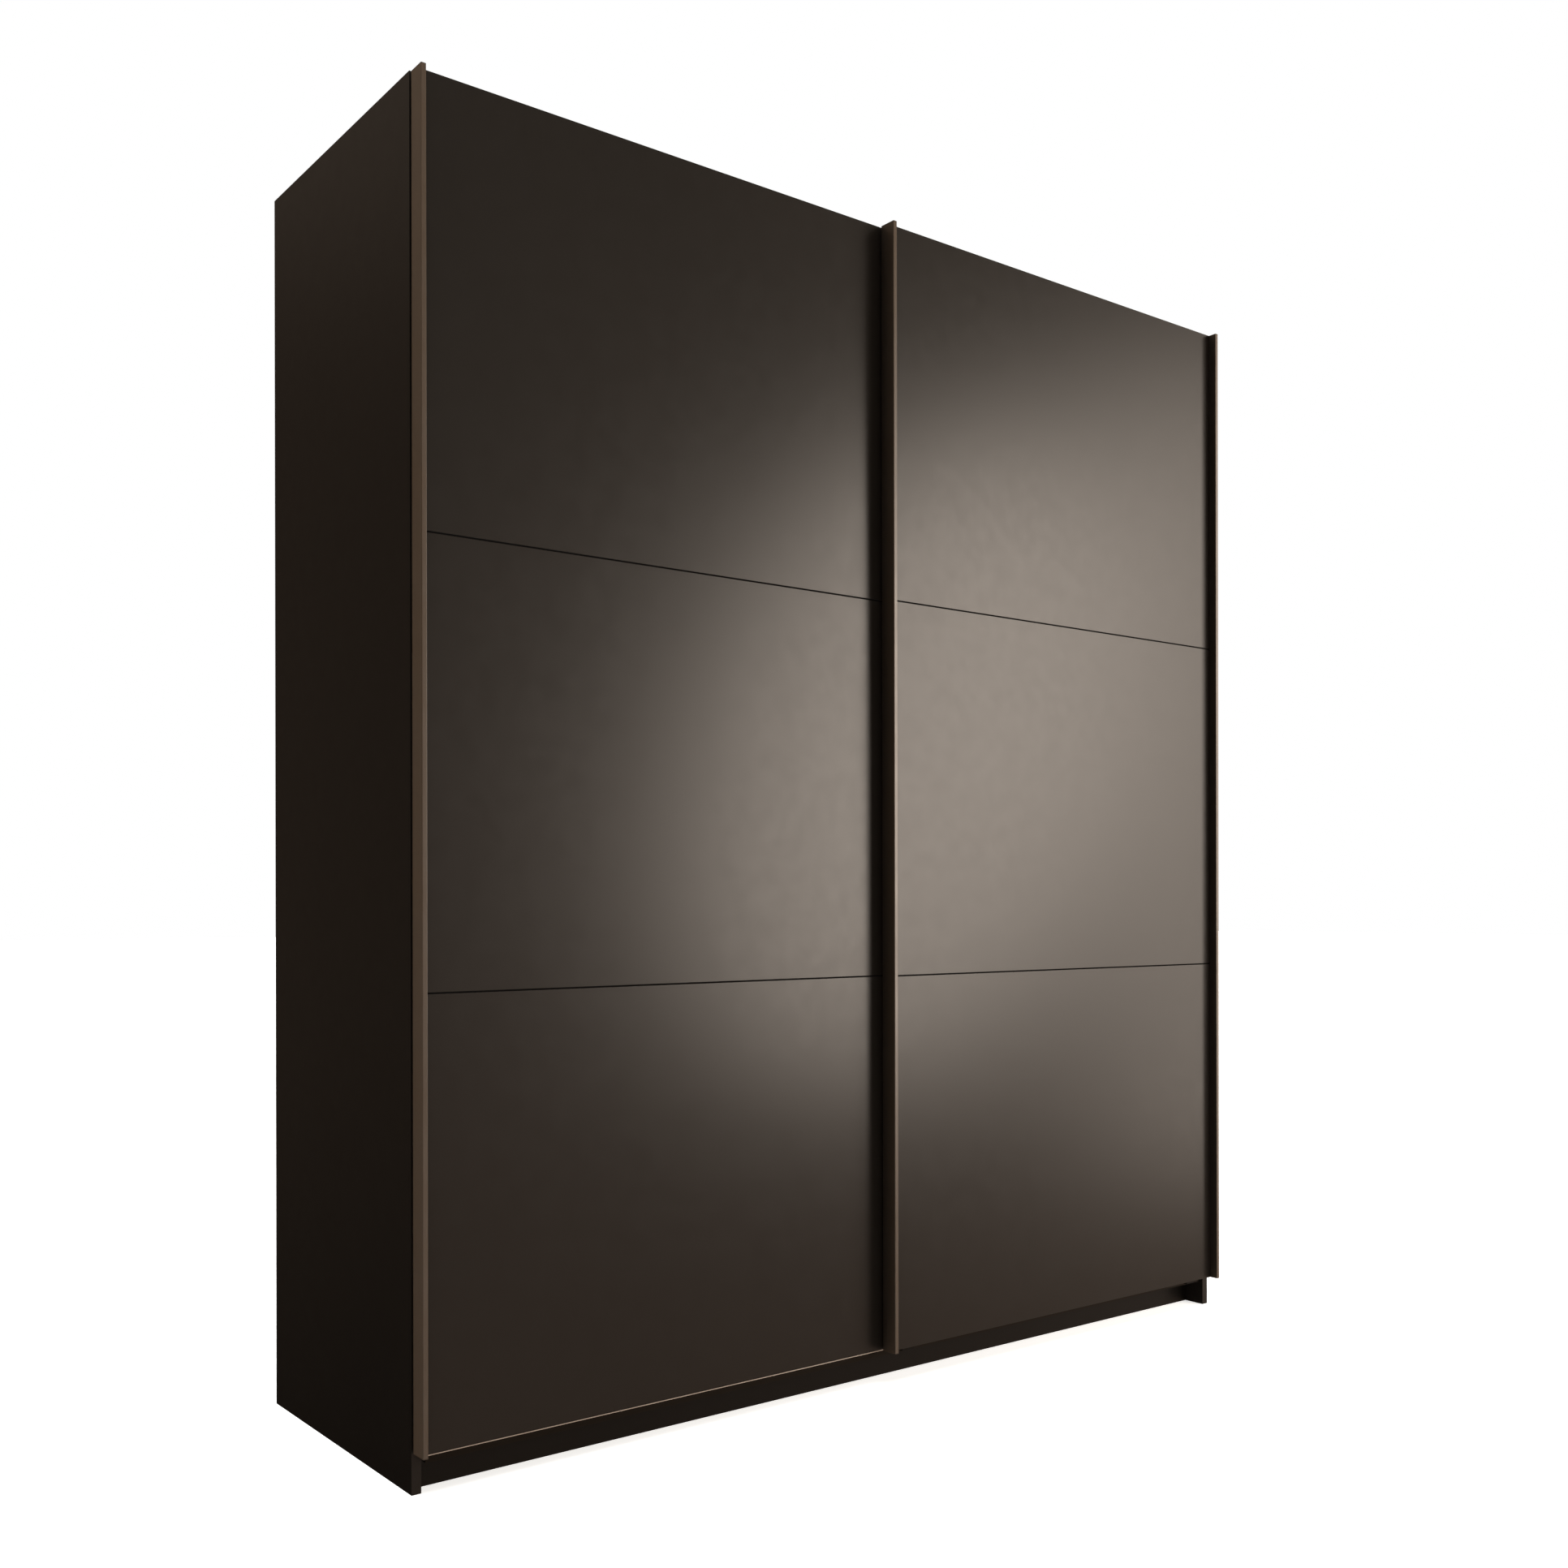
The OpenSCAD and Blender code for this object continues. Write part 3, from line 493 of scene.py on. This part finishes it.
def screws(name, spots, axis, radius=4.0):
    """Pan-head screws of the carcass."""
    head = [(radius * 0.9, SUNK), (radius, 0.0), (radius, SCREW_HEIGHT * 0.4),
            (radius * 0.86, SCREW_HEIGHT * 0.8), (radius * 0.66, SCREW_HEIGHT),
            (0.01, SCREW_HEIGHT)]
    bm = bmesh.new()
    for spot in spots:
        turned(bm, spot, axis, head)
        cross(bm, spot, axis, radius * 0.5, SCREW_HEIGHT)
    # The black plastic here paints the shade in the cross recesses.
    new_piece(name, "carcass", bm, ("zinc_steel", "black_plastic"))


def spread(low, high, count):
    return [low + (high - low) * k / (count - 1) for k in range(count)]


def outer_faces(node, axis):
    """Centres of a node's flat faces that look along the axis, at its furthest plane."""
    bm = bmesh.new()
    bm.from_mesh(frame["nodes"][node].data)
    look = Vector(axis)
    facing = [face for face in bm.faces if face.normal.dot(look) > 0.99]
    furthest = max(face.calc_center_median().dot(look) for face in facing)
    left = {face for face in facing
            if furthest - face.calc_center_median().dot(look) < 0.2 * MM}
    centres = []
    while left:
        island = [left.pop()]
        for face in island:
            for edge in face.edges:
                for other in edge.link_faces:
                    if other in left:
                        left.remove(other)
                        island.append(other)
        points = [v.co for face in island for v in face.verts]
        low = Vector(min(p[i] for p in points) for i in range(3))
        high = Vector(max(p[i] for p in points) for i in range(3))
        centres.append((low + high) / 2)
    bm.free()
    return sorted(centres, key=tuple)


def add_track_screws():
    low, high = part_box("top_track")
    base_sheet = 2.5 * MM
    end_room = 0.09
    middle = (low.y + high.y) / 2
    places = spread(low.x + end_room, high.x - end_room, 7)
    screws("track_screws", [(x, middle, low.z + base_sheet) for x in places], UP)


def add_bracket_screws():
    """Two screws in the foot of each wall bracket."""
    low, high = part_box("wall_brackets")
    sheet = 2.5 * MM
    half_leg = 20 * MM
    from_end = 20 * MM
    aside = 11 * MM
    places = [x + side * aside for x in (low.x + half_leg, high.x - half_leg)
              for side in (-1, 1)]
    screws("bracket_screws", [(x, low.y + from_end, low.z + sheet) for x in places], UP)


def add_stop_screws():
    """One clamp screw in the top of each stop block."""
    screws("stop_screws", outer_faces("track_stops", UP), UP, radius=3.5)


def add_back_nails():
    """Nails through the back panels into the boards behind them."""
    low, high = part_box("left_back_panel")
    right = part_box("right_back_panel")[1].x
    strip_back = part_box("back_joint_strip")[1].y
    side_room = 0.07
    board_middle = 8 * MM
    strip_room = 0.1
    spots = [(x, high.y, z) for x in spread(low.x + side_room, right - side_room, 14)
             for z in (low.z + board_middle, high.z - board_middle)]
    spots += [(high.x, strip_back, z)
              for z in spread(low.z + strip_room, high.z - strip_room, 11)]
    head = [(1.4, SUNK), (2.6, 0.0), (2.6, 0.25), (2.0, 0.55), (0.01, 0.7)]
    bm = bmesh.new()
    for spot in spots:
        turned(bm, spot, BACKWARDS, head, sides=16)
    new_piece("back_nails", "carcass", bm, ("zinc_steel",))


def add_recesses(name, body, node, axis, reach, rim=0.0):
    """Dark crosses that paint the shade of cross recesses, and a raised rim where one is given,
    on round fittings of a node.
    """
    bm = bmesh.new()
    for centre in outer_faces(node, axis):
        if rim:
            ring(bm, centre, axis, rim - 1.0, rim, 0.15)
        cross(bm, centre, axis, reach, 0.0)
    # The black plastic here paints the shade in the cross recesses.
    new_piece(name, body, bm, ("zinc_steel", "black_plastic"))


def add_screw_recesses():
    for door in DOORS:
        add_recesses(f"{door}_screw_recesses", f"{door}_door", f"{door}_door_screws",
                     BACKWARDS, 2.0)


def add_bearings():
    """The ball bearing's two races on both faces of each wheel."""
    races = ((7.2, 8.6), (4.9, 5.8))
    for name in [f"{door}_wheel_{number}" for door in DOORS for number in range(1, 5)]:
        low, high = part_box(name)
        middle = (low + high) / 2
        bm = bmesh.new()
        for y, side in ((low.y, -1), (high.y, 1)):
            for inner, outer in races:
                ring(bm, (middle.x, y, middle.z), (0, side, 0), inner, outer, 0.2)
        new_piece(f"{name}_bearing", name, bm, ("zinc_steel",))


def add_rivet_heads(door, centres):
    """Formed heads on the axles' rear ends."""
    head = [(4.6, -1.4), (4.95, -1.1), (4.95, -0.1), (4.3, 0.55), (3.0, 0.95), (1.8, 1.0),
            (1.2, 0.7), (0.9, 0.3), (0.01, 0.25)]
    bm = bmesh.new()
    for centre in centres:
        turned(bm, centre, BACKWARDS, head, sides=32)
    new_piece(f"{door}_rivet_heads", f"{door}_door", bm, ("zinc_steel",))


def add_hanger_ribs(door, centres):
    """Two pressed ribs in each hanger, between its axles."""
    rib = [(0.3, 0.0), (1.6, 0.6), (2.4, 2.0), (2.4, 20.0), (1.6, 21.4), (0.3, 22.0)]
    rib_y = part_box(f"{door}_door_hangers")[1].y - 1.6 * MM
    below_axle = 9 * MM
    bm = bmesh.new()
    for first, second in zip(centres[::2], centres[1::2]):
        for share in (0.36, 0.64):
            x = first.x + (second.x - first.x) * share
            turned(bm, (x, rib_y, first.z - below_axle), UP, rib)
    new_piece(f"{door}_hanger_ribs", f"{door}_door", bm, ("zinc_steel",))


def add_hanger_details():
    for door in DOORS:
        axle_ends = outer_faces(f"{door}_door_axles", BACKWARDS)
        add_rivet_heads(door, axle_ends)
        add_hanger_ribs(door, axle_ends)


def add_brush():
    """Brush seal: a carrier with a pile of bristles, in the space of its CAD block."""
    low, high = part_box("left_door_brush_seal")
    wall = 0.7 * MM
    root_y = high.y - 1.3 * MM
    lip_y = root_y - 0.8 * MM
    bm = bmesh.new()
    section = [(low.x, high.y), (high.x, high.y), (high.x, lip_y), (high.x - wall, lip_y),
               (high.x - wall, root_y), (low.x + wall, root_y), (low.x + wall, lip_y),
               (low.x, lip_y)]
    foot, head = [[bm.verts.new((x, y, z)) for x, y in section] for z in (low.z, high.z)]
    bridge(bm, foot, head)
    bm.faces.new(foot)
    bm.faces.new(head[::-1])
    side_room = 1.3 * MM
    pitch = 2.2 * MM
    columns = spread(low.x + side_room, high.x - side_room, 3)
    for step in range(int((high.z - low.z) / pitch)):
        for x in columns:
            up = (step + 0.6 + DRAWS.uniform(-0.3, 0.3)) * pitch
            root = Vector((x, root_y, low.z + up))
            tip_y = low.y + DRAWS.uniform(0.0, 0.35) * MM
            lean = DRAWS.uniform(-0.5, 0.5) * MM
            tuft(bm, root, Vector((x + lean, tip_y, root.z + DRAWS.uniform(-0.4, 0.4) * MM)))
    piece = new_piece("left_door_brush", "left_door", bm,
                      ("black_plastic", "brush_pile"))
    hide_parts("left_door_brush_seal")


def tuft(bm, root, tip):
    """A four-sided clump of bristles that narrows towards its tip."""
    corners = ((-1, -1), (1, -1), (1, 1), (-1, 1))
    base = [bm.verts.new(root + Vector((0.75 * a, 0, 1.1 * b)) * MM) for a, b in corners]
    point = [bm.verts.new(tip + Vector((0.4 * a, 0, 0.6 * b)) * MM) for a, b in corners]
    for face in bridge(bm, base, point) + [bm.faces.new(base), bm.faces.new(point[::-1])]:
        face.material_index = 1


add_track_screws()
add_bracket_screws()
add_stop_screws()
add_back_nails()
add_recesses("cam_recesses", "carcass", "cam_fittings", UP, 2.6, rim=6.2)
add_screw_recesses()
add_bearings()
add_hanger_details()
add_brush()

# ---- Studio --------------------------------------------------------------------------------

WARM = (1.0, 0.875, 0.76)
NEUTRAL = (1.0, 0.96, 0.91)
WHITE = (1.0, 1.0, 1.0)
PALE = (0.95, 0.95, 0.94)

# What the doors mirror: the room in front of them, low and high, and behind the camera
ROOM_LOW = (0.36, 0.25, 0.185)
ROOM_HIGH = (0.28, 0.235, 0.19)
ROOM_CORNER = (0.02, 0.017, 0.014)
ROOM_BACK = (0.075, 0.053, 0.038)
ROOM_CEILING = (0.22, 0.17, 0.13)
BELOW_BACK = (0.008, 0.006, 0.005)
FLOOR_GLOW = (0.52, 0.44, 0.375)


def make_floor():
    """Pale floor; it isn't mirrored in the doors, whose lower halves would turn grey."""
    half = 40.0
    glow = 0.75
    s = Shader("floor", roughness=0.8)
    cloud = s.noise(0.6, detail=2.0)
    s.colour(s.mix(s.span(cloud, 0.0, 1.0), shade(PALE, 0.985), PALE))
    s.bsdf.inputs["Emission Color"].default_value = (*PALE, 1.0)
    s.bsdf.inputs["Emission Strength"].default_value = glow
    mesh = bpy.data.meshes.new("floor")
    mesh.from_pydata([(-half, -half, 0), (half, -half, 0), (half, half, 0), (-half, half, 0)],
                     [], [(0, 1, 2, 3)])
    mesh.materials.append(s.material)
    floor = bpy.data.objects.new("floor", mesh)
    SCENE.collection.objects.link(floor)
    floor.visible_glossy = False
    floor.visible_shadow = False


def area_light(name, place, target, size, radiance, colour, shape="RECTANGLE", roll_deg=0.0):
    """A soft box of the given radiance, facing its target."""
    data = bpy.data.lights.new(name, "AREA")
    data.shape = shape
    data.size, data.size_y = size
    data.energy = radiance * math.pi * size[0] * size[1]
    data.color = colour
    light = bpy.data.objects.new(name, data)
    SCENE.collection.objects.link(light)
    light.location = place
    facing = (Vector(target) - Vector(place)).to_track_quat("-Z", "Y").to_matrix()
    roll = Matrix.Rotation(math.radians(roll_deg), 3, "Z")
    light.rotation_euler = (facing @ roll).to_euler()
    return light


def sky_light(strength):
    """Even light from straight above, for the floor and the tops of things."""
    data = bpy.data.lights.new("sky", "SUN")
    data.energy = strength
    data.angle = math.radians(50)
    light = bpy.data.objects.new("sky", data)
    SCENE.collection.objects.link(light)
    light.location = (0, 0, 6)


def make_world():
    """White to the camera; in reflections a dim room, its colours set by direction."""
    world = bpy.data.worlds.new("studio")
    world.use_nodes = True
    SCENE.world = world
    n = Nodes(world.node_tree)
    direction = n.tree.nodes.new("ShaderNodeTexCoord").outputs["Generated"]
    axes = n.tree.nodes.new("ShaderNodeSeparateXYZ")
    n.link(direction, axes.inputs[0])
    across = n.math("SUBTRACT", axes.outputs["X"], axes.outputs["Y"])
    up = axes.outputs["Z"]

    def above(start, end):
        return n.span(up, 0.0, 1.0, start, end)

    def below(start, end):
        return n.span(up, 1.0, 0.0, start, end)

    corner = n.mix(below(-0.32, -0.18), ROOM_CORNER, FLOOR_GLOW)
    rear = n.mix(above(0.33, 0.43), ROOM_BACK, ROOM_CEILING)
    rear = n.mix(below(-0.35, -0.08), rear, BELOW_BACK)
    facing = n.mix(above(-0.3, 0.3), ROOM_LOW, ROOM_HIGH)
    back = n.span(across, 1.0, 0.0, start=-0.9, end=-0.4)
    front = n.span(across, 0.0, 1.0, start=0.1, end=0.7)
    room = n.mix(front, n.mix(back, corner, rear), facing)
    room = n.mix(below(-0.7, -0.46), room, FLOOR_GLOW)
    background = n.tree.nodes["Background"]
    n.link(room, background.inputs["Color"])
    seen = n.tree.nodes.new("ShaderNodeBackground")
    seen.inputs["Color"].default_value = (*WHITE, 1.0)
    path = n.tree.nodes.new("ShaderNodeLightPath")
    choose = n.tree.nodes.new("ShaderNodeMixShader")
    n.link(path.outputs["Is Camera Ray"], choose.inputs["Fac"])
    n.link(background.outputs["Background"], choose.inputs[1])
    n.link(seen.outputs["Background"], choose.inputs[2])
    n.link(choose.outputs["Shader"], n.tree.nodes["World Output"].inputs["Surface"])


def make_lights():
    """Two soft boxes that the doors mirror, two fills, and light from above."""
    low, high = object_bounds()
    front = low[1] - 2.4
    back = high[1] + 3.2
    near_x, far_x, box_z = 2.37, 4.32, 1.53
    area_light("softbox", (near_x, front, box_z), (near_x, low[1], box_z), (1.9, 2.88), 5.5,
               WARM, "ELLIPSE", -34)
    area_light("side_box", (far_x, front, box_z), (far_x, low[1], box_z), (1.9, 3.8), 3.2, WARM)
    area_light("back_fill", (1.3, back, 1.9), (0.8, high[1], 1.1), (2.2, 2.2), 1.8, NEUTRAL)
    area_light("right_fill", (4.6, 0.6, 1.6), (high[0], 0.2, 1.1), (2.2, 2.2), 1.6, NEUTRAL)
    sky_light(3.4)


make_world()
make_lights()
make_floor()
SCENE.view_settings.view_transform = "Standard"
